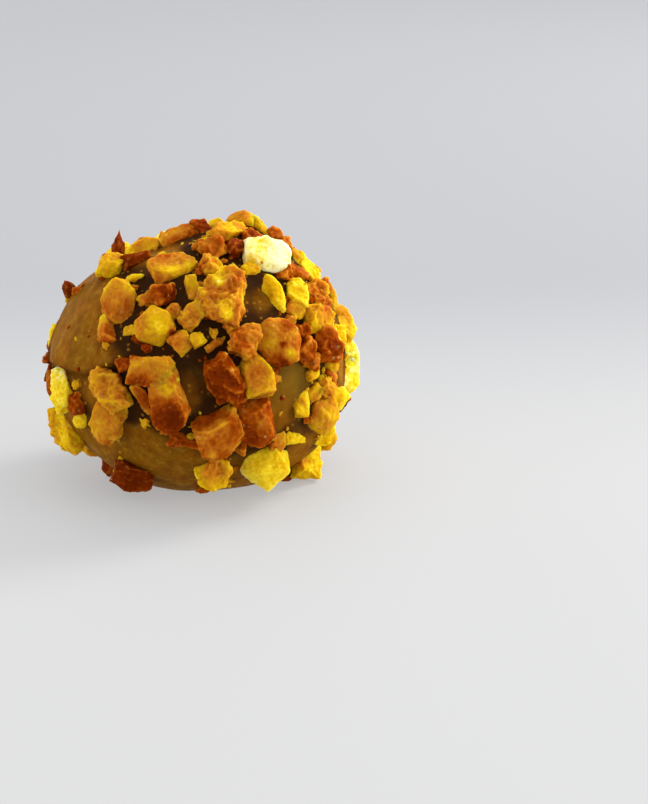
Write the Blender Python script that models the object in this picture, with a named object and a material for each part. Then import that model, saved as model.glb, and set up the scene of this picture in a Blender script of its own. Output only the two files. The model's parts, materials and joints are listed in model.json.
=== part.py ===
"""Pistachio brigadeiro: a hand-rolled ball of pistachio fudge, rolled in chopped roasted nuts.

The ball slumps on to a small flat base, which lies on the plane z = 0 with its middle at the origin.
+Y points from the front to the back, +X to the right. Sizes are in millimetres until they are placed.
"""

import math
import random

import bmesh
import bpy
from mathutils import Matrix, Vector

MM = 0.001

# The fudge ball: a slightly flattened ellipsoid with its underside pressed flat.
FUDGE_WIDTH = 30.6
FUDGE_DEPTH = 30.0
FUDGE_HEIGHT = 27.2
BASE_PRESS = 1.3  # how much of the ellipsoid's underside is pressed flat
HALF_SIZE = Vector((FUDGE_WIDTH, FUDGE_DEPTH, FUDGE_HEIGHT)) / 2
MIDDLE = Vector((0.0, 0.0, FUDGE_HEIGHT / 2 - BASE_PRESS))
FUDGE_FACETS = 4  # times the icosphere is subdivided

# Where rolling by hand left the ball proud or hollow: direction, height, spread in degrees.
SWELLS = (
    (Vector((0.36, 0.05, 0.93)), 1.6, 20),
    (Vector((0.74, 0.05, 0.67)), 0.5, 26),
    (Vector((0.98, 0.00, 0.00)), 0.6, 28),
    (Vector((0.72, -0.30, -0.62)), 1.0, 26),
    (Vector((-0.28, 0.00, 0.96)), -0.8, 20),
    (Vector((-0.72, -0.68, -0.22)), -0.6, 20),
    (Vector((0.10, -0.97, 0.15)), -0.4, 24),
    (Vector((0.20, 0.96, 0.10)), 0.8, 34),
    (Vector((-0.50, 0.70, -0.40)), -0.5, 30),
)

# The front of the coat is laid out as someone sees it who looks down on it a little.
EYE_DISTANCE = 216.0
EYE_TILT = math.radians(15)
EYE_BACK = Vector((0, -math.cos(EYE_TILT), math.sin(EYE_TILT)))
EYE_UP = Vector((0, math.sin(EYE_TILT), math.cos(EYE_TILT)))
EYE_RIGHT = Vector((1, 0, 0))
EYE = MIDDLE + EYE_BACK * EYE_DISTANCE
SIGHT_STEP = 0.2  # how closely a line of sight is searched for the skin
SIGHT_REACH = 18.0
FACING = 0.7  # how far the pieces in front turn their broad side from the skin's own normal to the eye
MOST_PROUD = 0.30  # the furthest a piece's middle lies off the skin, as a share of its thickness
SPIKE_PROUD = 0.36  # the same for a piece that stands on its end, as a share of its length

# How far a nut is roasted.
CREAM, PALE, YELLOW, GOLD, TAN, ORANGE, BROWN, DARK = 0.0, 0.14, 0.28, 0.42, 0.55, 0.68, 0.84, 1.0
ROASTED_FROM = 0.5
PEBBLE_FACETS = 1  # the plain icosahedron

# Nut shapes: what each is broken from, thickness as a share of width, taper along the length, share of
# the thickness sunk in the fudge, and the flat breaks, each an outward direction and its distance from
# the middle in half sizes.
SHAPES = {
    "block": (
        "cube", 0.80, 0.12, 0.28,
        ((0.2, 0.1, 1, 0.84), (1, 0.8, 0.6, 1.12), (-1, 0.9, 0.7, 1.16), (0.8, -1, 0.7, 1.08), (-0.9, -0.8, 0.9, 1.20)),
    ),
    "wedge": (
        "cube", 0.75, 0.35, 0.28,
        ((0.5, 0.1, 1, 0.40), (-1, 0.5, 0.5, 1.00), (0.7, 1, 0.1, 1.02), (-0.5, -1, 0.3, 1.04)),
    ),
    "slab": (
        "cube", 0.52, 0.18, 0.32,
        ((1, 0.8, 0.2, 1.00), (0.9, -1, 0, 1.10), (-1, -0.7, 0.2, 1.04), (-0.6, 1, 0.1, 1.06), (0.1, 0.15, 1, 0.80)),
    ),
    "round": ("pebble", 0.66, 0.12, 0.28, ((0.1, 0, -1, 0.45), (-0.8, 0.5, 0.45, 0.80))),
    "seed": ("pebble", 0.62, 0.50, 0.32, ((0, 0, -1, 0.60),)),
    "crag": (
        "cube", 0.82, 0.22, 0.26,
        ((1, 1, 0.5, 1.02), (-1, 0.7, 0.8, 1.00), (-0.7, -1, 0.4, 1.04), (0.8, -0.8, 1, 1.06), (0.2, 0.1, 1, 0.82),
         (-1, 0.1, -0.3, 0.86), (0.2, 1, -0.3, 0.88)),
    ),
    "shard": (
        "cube", 0.70, 0.60, 0.28,
        ((0.2, 0.8, 0.8, 0.66), (-1, 0.3, 0.5, 0.96), (0.3, -0.9, 0.5, 0.72)),
    ),
    "drop": ("pebble", 0.60, 0.75, 0.30, ((0, 0, -1, 0.50),)),
    "spike": ("pebble", 0.85, 0.80, 0.30, ((0.3, 1, 0.2, 0.50), (0.3, -0.8, 0.7, 0.55))),
    "flake": ("cube", 0.34, 0.25, 0.30, ((-1, 0.7, 0, 1.0), (0.9, -1, 0, 1.0), (1, 0.8, 0.2, 1.1))),
    "kernel": (
        "pebble", 0.72, -0.12, 0.26,
        ((0.30, 0.12, 1, 0.52), (-0.72, 0.1, 0.70, 0.50), (-1, 0.05, 0, 0.80), (1, 0.25, 0.1, 0.74),
         (0.1, 1, 0.15, 0.66), (0.3, -1, 0.25, 0.62)),
    ),
}

# The pieces that show in front: shape, roast, place across and up from the ball's middle, length,
# width, and the turn of the length in degrees, anticlockwise from the right.
FRONT_COAT = (
    ("spike", BROWN, -8.0, 12.5, 3.6, 1.5, 86),
    ("round", BROWN, -9.2, 11.2, 1.8, 1.5, 0),
    ("block", YELLOW, -8.4, 10.0, 2.9, 2.7, 60),
    ("seed", PALE, -6.2, 9.0, 2.1, 1.1, 15),
    ("shard", DARK, -6.0, 10.7, 3.1, 2.0, 20),
    ("slab", GOLD, -5.4, 11.9, 4.2, 2.0, 18),
    ("block", ORANGE, -1.6, 12.9, 4.2, 2.3, 18),
    ("wedge", BROWN, 1.0, 13.9, 2.8, 2.0, -35),
    ("flake", YELLOW, 0.2, 12.6, 3.2, 1.0, 8),
    ("slab", TAN, -2.2, 9.9, 4.7, 3.4, 22),
    ("crag", ORANGE, -3.7, 6.8, 3.3, 2.3, 15),
    ("wedge", GOLD, -0.2, 7.6, 3.0, 1.7, 105),
    ("round", GOLD, -7.7, 6.2, 4.9, 4.3, 100),
    ("shard", ORANGE, -9.2, 3.5, 3.5, 2.3, 105),
    ("block", GOLD, -6.8, 3.2, 1.5, 1.3, 0),
    ("round", YELLOW, -4.0, 3.5, 4.3, 4.0, -15),
    ("wedge", GOLD, -1.4, 1.8, 2.4, 2.1, -60),
    ("block", GOLD, 0.2, 2.3, 1.6, 1.5, 30),
    ("spike", DARK, -13.5, 8.1, 2.3, 1.6, 120),
    ("shard", BROWN, -12.2, 7.7, 1.6, 1.0, 10),
    ("slab", PALE, -15.1, 2.6, 3.3, 1.2, 82),
    ("crag", BROWN, -15.3, 0.7, 1.2, 1.2, 0),
    ("round", GOLD, 5.5, 15.6, 3.8, 2.9, -20),
    ("wedge", TAN, 3.8, 13.6, 4.2, 2.6, 20),
    ("shard", YELLOW, 7.4, 13.7, 3.4, 1.7, -46),
    ("crag", ORANGE, 9.5, 12.1, 2.4, 1.8, -50),
    ("block", CREAM, 7.5, 10.6, 4.8, 3.6, -8),
    ("block", GOLD, 5.9, 9.6, 1.9, 1.4, 10),
    ("seed", YELLOW, 4.4, 9.5, 2.5, 1.1, -60),
    ("crag", BROWN, 2.0, 11.6, 2.7, 2.5, 30),
    ("crag", TAN, 1.9, 9.8, 2.8, 2.3, -30),
    ("crag", TAN, 2.8, 6.3, 6.1, 4.3, 80),
    ("crag", GOLD, -0.3, 4.7, 3.0, 2.2, 40),
    ("seed", YELLOW, 8.2, 6.7, 4.9, 2.5, 103),
    ("block", YELLOW, 10.6, 6.8, 3.6, 2.4, 88),
    ("shard", BROWN, 10.6, 9.2, 3.2, 2.2, -15),
    ("crag", GOLD, 10.8, 10.8, 2.0, 1.6, -40),
    ("slab", YELLOW, 12.1, 9.3, 3.4, 2.4, -60),
    ("crag", GOLD, 12.6, 6.9, 2.9, 2.5, 40),
    ("crag", ORANGE, 14.0, 7.6, 2.8, 2.0, -45),
    ("block", GOLD, 12.6, 4.2, 3.8, 3.0, 5),
    ("slab", GOLD, 15.7, 3.9, 4.2, 2.7, 92),
    ("round", ORANGE, 8.3, 1.7, 5.6, 4.8, 110),
    ("shard", GOLD, 2.3, 2.0, 3.0, 1.1, 35),
    ("crag", ORANGE, 5.0, 1.9, 3.9, 3.3, 70),
    ("crag", BROWN, 13.5, 1.4, 3.7, 3.1, 110),
    ("block", PALE, 14.5, 1.6, 1.7, 1.5, 0),
    ("crag", DARK, 2.9, -2.0, 5.2, 3.6, 115),
    ("block", GOLD, 6.2, -1.6, 4.1, 3.0, 100),
    ("block", BROWN, 6.0, -6.3, 4.3, 3.7, 95),
    ("block", ORANGE, 2.2, -7.3, 5.0, 4.1, 25),
    ("shard", DARK, -1.2, -8.3, 3.4, 2.0, -15),
    ("drop", GOLD, 11.1, -4.5, 3.2, 2.3, 65),
    ("round", GOLD, 13.0, -5.7, 4.4, 3.9, 60),
    ("shard", YELLOW, 10.4, -8.3, 3.0, 1.4, -8),
    ("round", YELLOW, 6.8, -10.8, 5.5, 5.0, 60),
    ("wedge", ORANGE, 8.4, -8.6, 2.1, 1.9, 80),
    ("wedge", YELLOW, 12.0, -10.4, 5.0, 3.6, 70),
    ("crag", GOLD, 1.6, -11.3, 3.5, 3.2, 40),
    ("block", ORANGE, 0.5, -13.3, 1.5, 1.2, 0),
    ("slab", YELLOW, 16.0, 0.9, 3.0, 2.8, 90),
    ("slab", YELLOW, 16.1, -1.6, 4.7, 3.2, 88),
    ("shard", BROWN, 14.1, -1.4, 3.3, 1.9, 70),
    ("round", YELLOW, 14.8, -4.2, 3.4, 2.8, 20),
    ("kernel", TAN, -2.8, -3.7, 7.5, 4.0, 99),
    ("block", ORANGE, -4.6, -1.0, 4.6, 3.2, 172),
    ("flake", ORANGE, -5.1, -4.5, 5.2, 1.5, 120),
    ("shard", DARK, -6.4, 0.0, 3.6, 1.5, 15),
    ("crag", GOLD, -8.6, -2.8, 5.1, 3.3, 128),
    ("block", ORANGE, -8.9, -5.7, 4.3, 3.6, 75),
    ("round", BROWN, -15.3, -2.6, 4.2, 2.3, 92),
    ("wedge", PALE, -13.9, -2.4, 4.6, 2.9, 110),
    ("crag", ORANGE, -12.5, -4.0, 2.4, 1.8, 90),
    ("block", PALE, -12.0, -5.7, 2.0, 1.5, 60),
    ("crag", YELLOW, -13.6, -6.8, 5.6, 3.9, 125),
    ("block", DARK, -6.6, -11.5, 4.4, 3.1, -22),
)

# The rest of the coat is scattered by rule over what does not show in front, the largest first.
SCATTER_SEED = 21
SCATTER_TRIES = 1700
SCATTER_LARGEST = 6.2
SCATTER_SMALLEST = 1.7
SCATTER_GAP = 0.40  # closest spacing, as a share of the two lengths together
SCATTER_SHAPES = ("block", "crag", "round", "wedge", "slab", "block", "crag", "shard", "seed", "drop")
SCATTER_ROASTS = (YELLOW, GOLD, ORANGE, TAN, YELLOW, BROWN, GOLD, ORANGE, DARK, PALE)
FRONT_EDGE = 0.02  # how far round the layout reaches, as the cosine from the eye's direction
RIM_EDGE = -0.45  # how far behind that the scattered pieces are kept small, and how long they are at most
RIM_LARGEST = 4.2
BARE_PATCHES = (
    (Vector((-0.84, 0.28, 0.46)), 23),
    (Vector((-0.70, 0.62, 0.35)), 20),
    (Vector((0.55, 0.80, -0.25)), 17),
    (Vector((0.15, 0.75, 0.65)), 12),
    (Vector((0.0, 0.0, -1.0)), 16),
)
TILT_SEED = 5
MOST_TILT = 22  # degrees that a piece leans from lying flat on the fudge


def clear_scene():
    for obj in list(bpy.data.objects):
        bpy.data.objects.remove(obj)


def material(name, colour, roughness):
    made = bpy.data.materials.new(name)
    made.use_nodes = True
    shader = made.node_tree.nodes["Principled BSDF"]
    shader.inputs["Base Color"].default_value = (*colour, 1)
    shader.inputs["Roughness"].default_value = roughness
    shader.inputs["Metallic"].default_value = 0
    return made


def fudge_radius(direction):
    """The ball's radius in one direction from its middle, swells and hollows included."""
    d = direction.normalized()
    radius = 1 / math.sqrt(sum((d[k] / HALF_SIZE[k]) ** 2 for k in range(3)))
    for towards, height, spread in SWELLS:
        radius += height * math.exp(-((towards.angle(d) / math.radians(spread)) ** 2))
    return radius


def outward(direction):
    """The ball's outward normal, near enough, where a direction from its middle meets its skin."""
    return Vector(direction[k] / HALF_SIZE[k] ** 2 for k in range(3)).normalized()


def seen_place(across, up):
    """Where the line of sight through a point across and up from the ball's middle meets the skin: the
    direction from the middle, and how far off the skin the sight passes, 0 where it meets it."""
    start = EYE_RIGHT * across + EYE_UP * up
    sight = (start - EYE_BACK * EYE_DISTANCE).normalized()
    steps = int(SIGHT_REACH / SIGHT_STEP)
    closest = None
    for step in range(-steps, steps):
        at = start + sight * (step * SIGHT_STEP)
        gap = at.length - fudge_radius(at)
        if gap <= 0:
            return at.normalized(), 0.0
        if closest is None or gap < closest[1]:
            closest = (at.normalized(), gap)
    return closest


def chip(name, shape, length, width):
    """One nut piece about its own middle: a cube or a pebble, tapered, then broken along its flats."""
    start, thickness, taper, _, breaks = SHAPES[shape]
    piece = bmesh.new()
    if start == "cube":
        bmesh.ops.create_cube(piece, size=2)
    else:
        bmesh.ops.create_icosphere(piece, subdivisions=PEBBLE_FACETS, radius=1)
    for vert in piece.verts:
        slim = 1 - taper * (0.5 + 0.5 * vert.co.x)
        vert.co.y *= slim
        vert.co.z *= slim
    for x, y, z, distance in breaks:
        normal = Vector((x, y, z)).normalized()
        everything = piece.verts[:] + piece.edges[:] + piece.faces[:]
        cut = bmesh.ops.bisect_plane(
            piece, geom=everything, plane_co=normal * distance, plane_no=normal, clear_outer=True
        )
        rim = [e for e in cut["geom_cut"] if isinstance(e, bmesh.types.BMEdge)]
        bmesh.ops.contextual_create(piece, geom=rim)
    bmesh.ops.dissolve_degenerate(piece, dist=0.05, edges=piece.edges[:])
    low = Vector(min(v.co[k] for v in piece.verts) for k in range(3))
    high = Vector(max(v.co[k] for v in piece.verts) for k in range(3))
    wanted = Vector((length, width, width * thickness))
    for vert in piece.verts:
        vert.co = Vector(((vert.co[k] - low[k]) / (high[k] - low[k]) - 0.5) * wanted[k] for k in range(3))
    bmesh.ops.triangulate(piece, faces=piece.faces[:])
    bmesh.ops.recalc_face_normals(piece, faces=piece.faces[:])
    mesh = bpy.data.meshes.new(name)
    piece.to_mesh(mesh)
    piece.free()
    return mesh


def lying_frame(normal, along, lean):
    """A turn with Z out of the fudge and X along the piece, leaning a little."""
    side = normal.cross(along).normalized()
    flat = Matrix((side.cross(normal), side, normal)).transposed()
    tilt = Matrix.Rotation(lean[0], 3, "X") @ Matrix.Rotation(lean[1], 3, "Y")
    return flat @ tilt


def place_chip(name, shape, roast, direction, gap, normal, along, length, width, lean, coat):
    """Puts one piece on the ball, part sunk in the fudge, and adds it to the coat."""
    _, thickness, _, sunk, _ = SHAPES[shape]
    depth = width * thickness
    middle = MIDDLE + direction * fudge_radius(direction)
    if gap > 0:
        reach = length * SPIKE_PROUD if shape == "spike" else depth * MOST_PROUD
        middle += direction * min(gap, reach)
    else:
        middle += outward(direction) * depth * (0.5 - sunk)
    turn = lying_frame(normal, along, lean)
    obj = bpy.data.objects.new(name, chip(name, shape, length, width))
    obj.data.materials.append(NUT_ROASTED if roast > ROASTED_FROM else NUT_PALE)
    obj.data.transform(Matrix.Translation(middle * MM) @ turn.to_4x4() @ Matrix.Scale(MM, 4))
    coat.objects.link(obj)


def leans(draw):
    return [math.radians(draw.uniform(-MOST_TILT, MOST_TILT)) for _ in range(2)]


def lay_front(coat):
    """The hand-laid front of the coat. Returns the directions and lengths, for the scatter to keep clear of."""
    draw = random.Random(TILT_SEED)
    taken = []
    for number, (shape, roast, across, up, length, width, turn) in enumerate(FRONT_COAT):
        direction, gap = seen_place(across, up)
        angle = math.radians(turn)
        seen = EYE_RIGHT * math.cos(angle) + EYE_UP * math.sin(angle)
        facing = (outward(direction) + EYE_BACK * FACING).normalized()
        if shape == "spike":
            normal, along = EYE_BACK, seen
        else:
            normal, along = facing, seen - EYE_BACK * (seen.dot(facing) / facing.dot(EYE_BACK))
        name = f"front_{number:02d}"
        place_chip(name, shape, roast, direction, gap, normal, along, length, width, leans(draw), coat)
        taken.append((direction, length))
    return taken


def in_bare_patch(direction):
    return any(direction.angle(middle) < math.radians(reach) for middle, reach in BARE_PATCHES)


def scatter_rest(coat, taken):
    """Fills the sides, back and underside with pieces, the largest first, each clear of the last."""
    draw = random.Random(SCATTER_SEED)
    count = 0
    for attempt in range(SCATTER_TRIES):
        share = attempt / SCATTER_TRIES
        length = SCATTER_LARGEST + (SCATTER_SMALLEST - SCATTER_LARGEST) * share**0.7
        length *= draw.uniform(0.85, 1.1)
        z = draw.uniform(-1, 1)
        angle = draw.uniform(0, 2 * math.pi)
        ring = math.sqrt(1 - z * z)
        direction = Vector((ring * math.cos(angle), ring * math.sin(angle), z))
        width = length * draw.uniform(0.6, 0.92)
        spin = draw.uniform(0, 2 * math.pi)
        shape = draw.choice(SCATTER_SHAPES)
        roast = draw.choice(SCATTER_ROASTS)
        lean = leans(draw)
        reach = fudge_radius(direction)
        towards_eye = direction.dot(EYE_BACK)
        if towards_eye > FRONT_EDGE or in_bare_patch(direction):
            continue
        if towards_eye > RIM_EDGE and length > RIM_LARGEST:
            continue
        if any(direction.angle(d) * reach < SCATTER_GAP * (length + other) for d, other in taken):
            continue
        normal = outward(direction)
        across = normal.orthogonal().normalized()
        along = Matrix.Rotation(spin, 3, normal) @ across
        name = f"scatter_{count:03d}"
        place_chip(name, shape, roast, direction, 0, normal, along, length, width, lean, coat)
        taken.append((direction, length))
        count += 1
    return count


def fudge_ball():
    """The bare ball: an icosphere drawn out to the ball's own radius in each direction."""
    ball = bmesh.new()
    bmesh.ops.create_icosphere(ball, subdivisions=FUDGE_FACETS, radius=1)
    for vert in ball.verts:
        vert.co = (MIDDLE + vert.co.normalized() * fudge_radius(vert.co)) * MM
    mesh = bpy.data.meshes.new("brigadeiro")
    ball.to_mesh(mesh)
    ball.free()
    mesh.materials.append(FUDGE)
    obj = bpy.data.objects.new("brigadeiro", mesh)
    bpy.context.scene.collection.objects.link(obj)
    return obj


def table_block():
    """What the ball rests on, as a cutter that presses everything below z = 0 flat."""
    depth = 10 * MM
    bpy.ops.mesh.primitive_cube_add(size=1, location=(0, 0, -depth / 2), scale=(60 * MM, 60 * MM, depth))
    block = bpy.context.object
    block.name = "table_cutter"
    block.data.materials.append(FUDGE)
    block.hide_render = True
    block.display_type = "WIRE"
    return block


def apply_boolean(obj, operation, **operand):
    """Adds a Boolean, applies it, and leaves a mesh with no modifier."""
    boolean = obj.modifiers.new(operation.lower(), "BOOLEAN")
    boolean.operation = operation
    boolean.solver = "MANIFOLD"
    for name, value in operand.items():
        setattr(boolean, name, value)
    bpy.context.view_layer.objects.active = obj
    bpy.ops.object.modifier_apply(modifier=boolean.name)


clear_scene()
FUDGE = material("pistachio_fudge", (0.30, 0.16, 0.045), 0.45)
NUT_PALE = material("pale_nut", (0.72, 0.50, 0.09), 0.5)
NUT_ROASTED = material("roasted_nut", (0.46, 0.16, 0.03), 0.5)

brigadeiro = fudge_ball()
coat = bpy.data.collections.new("coat")
bpy.context.scene.collection.children.link(coat)
laid = lay_front(coat)
scattered = scatter_rest(coat, laid)
apply_boolean(brigadeiro, "UNION", operand_type="COLLECTION", collection=coat)
for obj in list(coat.objects):
    bpy.data.objects.remove(obj)
bpy.data.collections.remove(coat)
cutter = table_block()
apply_boolean(brigadeiro, "DIFFERENCE", operand_type="OBJECT", object=cutter)
bpy.data.objects.remove(cutter)
print(len(FRONT_COAT), "front pieces,", scattered, "scattered,", len(brigadeiro.data.polygons), "faces")
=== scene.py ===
"""A pistachio brigadeiro: a hand-rolled ball of pistachio fudge, rolled in chopped roasted nuts.

Sizes are in millimetres until a piece is placed. The ball rests on z = 0 with its front towards -Y.
"""

import json
import math
import random

import bpy
from mathutils import Matrix, Vector, noise
from mathutils.bvhtree import BVHTree
from mathutils.kdtree import KDTree

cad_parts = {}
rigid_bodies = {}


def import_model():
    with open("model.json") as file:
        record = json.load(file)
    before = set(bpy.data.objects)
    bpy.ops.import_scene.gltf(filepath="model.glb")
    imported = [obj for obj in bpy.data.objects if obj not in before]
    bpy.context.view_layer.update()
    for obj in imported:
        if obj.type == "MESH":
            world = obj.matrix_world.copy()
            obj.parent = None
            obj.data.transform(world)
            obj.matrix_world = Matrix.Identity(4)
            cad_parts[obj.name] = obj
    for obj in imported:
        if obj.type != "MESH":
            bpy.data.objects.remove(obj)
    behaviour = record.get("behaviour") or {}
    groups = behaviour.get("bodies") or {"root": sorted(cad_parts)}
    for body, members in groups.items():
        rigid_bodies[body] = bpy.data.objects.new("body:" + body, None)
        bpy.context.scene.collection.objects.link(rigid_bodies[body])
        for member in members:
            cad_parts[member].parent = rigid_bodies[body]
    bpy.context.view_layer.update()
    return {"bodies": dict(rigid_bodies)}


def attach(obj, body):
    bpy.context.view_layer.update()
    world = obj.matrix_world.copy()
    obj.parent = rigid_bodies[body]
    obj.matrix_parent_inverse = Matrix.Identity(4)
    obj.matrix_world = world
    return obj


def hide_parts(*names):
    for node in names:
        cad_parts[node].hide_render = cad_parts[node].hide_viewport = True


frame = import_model()
BODY = next(iter(frame["bodies"]))
MM = 0.001

# ---------------------------------------------------------------------------------------------------------
# The table, the light and the camera. The sweet stands on a plain white table in a pale room, with a window
# behind it on the right. Someone looks down on it a little from straight in front.

FUDGE_WIDTH = 30.6
FUDGE_DEPTH = 30.0
FUDGE_HEIGHT = 27.2
BASE_PRESS = 1.3  # how much of the ball's underside is pressed flat
HALF_SIZE = Vector((FUDGE_WIDTH, FUDGE_DEPTH, FUDGE_HEIGHT)) / 2
MIDDLE = Vector((0.0, 0.0, FUDGE_HEIGHT / 2 - BASE_PRESS))

EYE_DISTANCE = 216.0
EYE_TILT = math.radians(15)
EYE_BACK = Vector((0, -math.cos(EYE_TILT), math.sin(EYE_TILT)))
EYE_UP = Vector((0, math.sin(EYE_TILT), math.cos(EYE_TILT)))
EYE_RIGHT = Vector((1, 0, 0))
EYE = MIDDLE + EYE_BACK * EYE_DISTANCE
AIM = MIDDLE + EYE_RIGHT * 13.7 - EYE_UP * 4.58
LENS = 90

TABLE_SIZE = 4.0
TABLE_NEAR = (0.25, 0.25, 0.25, 1)
TABLE_FAR_SHADED = (0.125, 0.13, 0.145, 1)
TABLE_SHADE_FADES = (-0.01, 0.10)  # how far behind the ball, in metres, the painted shade that darkens the table starts and is full
TABLE_GLOW = 0.36  # how brightly the table glows of itself: painted light that keeps the shadow pale
TABLE_NEARNESS = 0.001 * MM  # how close to the table a point already counts as lying on it
ROOM_COLOUR = (0.95, 0.97, 1.0, 1)
ROOM_STRENGTH = 1.15
ROOM_SEEN = 0.62  # how bright the room looks behind the table
DIM_FRONT = 0.70  # how much of the room's light is left on the side where the onlooker stands
DIM_FROM = -0.8  # the Y of a direction where that starts to brighten, and where it is bright
DIM_TO = 0.5

# Each lamp: place in mm, size in mm, power in watts, colour.
LAMPS = (
    ("window", (450, 300, 340), 260, 3.6, (1.0, 0.98, 0.94)),
    ("ceiling", (60, 140, 600), 500, 0.5, (0.97, 0.98, 1.0)),
    ("left_wall", (-470, -150, 40), 300, 1.0, (1.0, 0.99, 0.97)),
    ("right_wall", (480, -160, 90), 300, 1.6, (1.0, 0.99, 0.96)),
)


def deselect():
    """Clears the selection, so that an operator acts only on what is added or chosen next."""
    for obj in bpy.context.selected_objects:
        obj.select_set(False)


def aim(obj, place, target):
    """Puts a lamp or the camera at a place in mm, looking at another."""
    obj.location = Vector(place) * MM
    obj.rotation_mode = "QUATERNION"
    obj.rotation_quaternion = (Vector(target) - Vector(place)).to_track_quat("-Z", "Y")


def new_material(name):
    """An empty material with its own shader. Returns the material, its node tree and the shader."""
    made = bpy.data.materials.new(name)
    made.use_nodes = True
    return made, made.node_tree, made.node_tree.nodes["Principled BSDF"]


def feed(tree, socket, value):
    """Links another node's output to a socket, or sets the socket to a constant."""
    if isinstance(value, bpy.types.NodeSocket):
        tree.links.new(value, socket)
    else:
        socket.default_value = value


def feed_sockets(tree, node, **values):
    """Feeds some sockets of a node, each by its name with _ for a space."""
    for key, value in values.items():
        feed(tree, node.inputs[key.replace("_", " ")], value)


def add_node(tree, kind, **values):
    """A shader node with some of its settings and sockets given."""
    node = tree.nodes.new(kind)
    for key, value in values.items():
        if hasattr(node, key):
            setattr(node, key, value)
        else:
            feed_sockets(tree, node, **{key: value})
    return node


def maths(tree, operation, first, second):
    """A Math node fed by sockets or plain numbers. Returns its output."""
    node = add_node(tree, "ShaderNodeMath", operation=operation)
    for socket, value in zip(node.inputs, (first, second)):
        feed(tree, socket, value)
    return node.outputs[0]


def blend_colours(tree, share, first, second):
    """A Mix node on colours. Returns its output."""
    node = add_node(tree, "ShaderNodeMix", data_type="RGBA", Factor=share)
    feed(tree, node.inputs[6], first)
    feed(tree, node.inputs[7], second)
    return node.outputs[2]


def band(tree, value, low, high):
    """A mask that rises from 0 to 1 as a value goes from low to high. Returns its output."""
    node = add_node(tree, "ShaderNodeMapRange", interpolation_type="SMOOTHSTEP", Value=value)
    feed_sockets(tree, node, From_Min=low, From_Max=high)
    return node.outputs["Result"]


deselect()
bpy.ops.mesh.primitive_plane_add(size=TABLE_SIZE, location=(0, 0, 0))
table = bpy.context.object
table.name = "table"
white, tree, shader = new_material("white_table")
spot = add_node(tree, "ShaderNodeSeparateXYZ", Vector=add_node(tree, "ShaderNodeTexCoord").outputs["Object"])
# Painted shade: the table is painted darker further behind the ball.
painted_far_shade = band(tree, spot.outputs["Y"], *TABLE_SHADE_FADES)
feed_sockets(
    tree, shader,
    Base_Color=blend_colours(tree, painted_far_shade, TABLE_NEAR, TABLE_FAR_SHADED),
    Roughness=0.6,
    Specular_IOR_Level=0.05,
    # Painted light: the table glows to keep the shadow under the sweet pale.
    Emission_Color=(1, 1, 1, 1),
    Emission_Strength=TABLE_GLOW,
)
table.data.materials.append(white)

for name, place, size, power, glow in LAMPS:
    lamp = bpy.data.lights.new(name, "AREA")
    lamp.shape = "DISK"
    lamp.size = size * MM
    lamp.energy = power
    lamp.color = glow
    lamp_object = bpy.data.objects.new(name, lamp)
    bpy.context.scene.collection.objects.link(lamp_object)
    aim(lamp_object, place, MIDDLE)

room = bpy.data.worlds.new("pale_room")
room.use_nodes = True
tree = room.node_tree
direction = add_node(tree, "ShaderNodeTexCoord").outputs["Generated"]
parts = add_node(tree, "ShaderNodeSeparateXYZ", Vector=direction)
dim = add_node(
    tree, "ShaderNodeMapRange", Value=parts.outputs["Y"], From_Min=DIM_FROM, From_Max=DIM_TO,
    To_Min=ROOM_STRENGTH * DIM_FRONT, To_Max=ROOM_STRENGTH,
)
onlooker = add_node(tree, "ShaderNodeLightPath").outputs["Is Camera Ray"]
seen = add_node(tree, "ShaderNodeMix", Factor=onlooker, A=dim.outputs["Result"], B=ROOM_SEEN)
feed_sockets(tree, tree.nodes["Background"], Color=ROOM_COLOUR, Strength=seen.outputs["Result"])
bpy.context.scene.world = room

camera = bpy.data.cameras.new("camera")
camera.lens = LENS
camera.clip_start = 0.01
camera_object = bpy.data.objects.new("camera", camera)
bpy.context.scene.collection.objects.link(camera_object)
aim(camera_object, EYE, AIM)
bpy.context.scene.camera = camera_object
bpy.context.scene.view_settings.view_transform = "Standard"

# ---------------------------------------------------------------------------------------------------------
# Where the nuts lie. The ball is rolled by hand in a dish of chopped nuts, and each piece that sticks is
# pressed part of the way into the fudge. Those in front are laid one by one and the rest fall by rule.

# Where rolling by hand left the ball proud or hollow: direction, height, spread in degrees.
SWELLS = (
    (Vector((0.36, 0.05, 0.93)), 1.6, 20),
    (Vector((0.74, 0.05, 0.67)), 0.5, 26),
    (Vector((0.98, 0.00, 0.00)), 0.6, 28),
    (Vector((0.72, -0.30, -0.62)), 1.0, 26),
    (Vector((-0.28, 0.00, 0.96)), -0.8, 20),
    (Vector((-0.72, -0.68, -0.22)), -0.6, 20),
    (Vector((0.10, -0.97, 0.15)), -0.4, 24),
    (Vector((0.20, 0.96, 0.10)), 0.8, 34),
    (Vector((-0.50, 0.70, -0.40)), -0.5, 30),
)

SIGHT_STEP = 0.2  # how closely a line of sight is searched for the skin
SIGHT_REACH = 18.0
FACING = 0.7  # how far the pieces in front turn their broad side from the skin's own normal to the eye
MOST_PROUD = 0.30  # the furthest a piece's middle lies off the skin, as a share of its thickness
SPIKE_PROUD = 0.36  # the same for a piece that stands on its end, as a share of its length

# How far a nut is roasted.
CREAM, PALE, YELLOW, GOLD, TAN, ORANGE, BROWN, DARK = 0.0, 0.14, 0.28, 0.42, 0.55, 0.68, 0.84, 1.0

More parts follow.
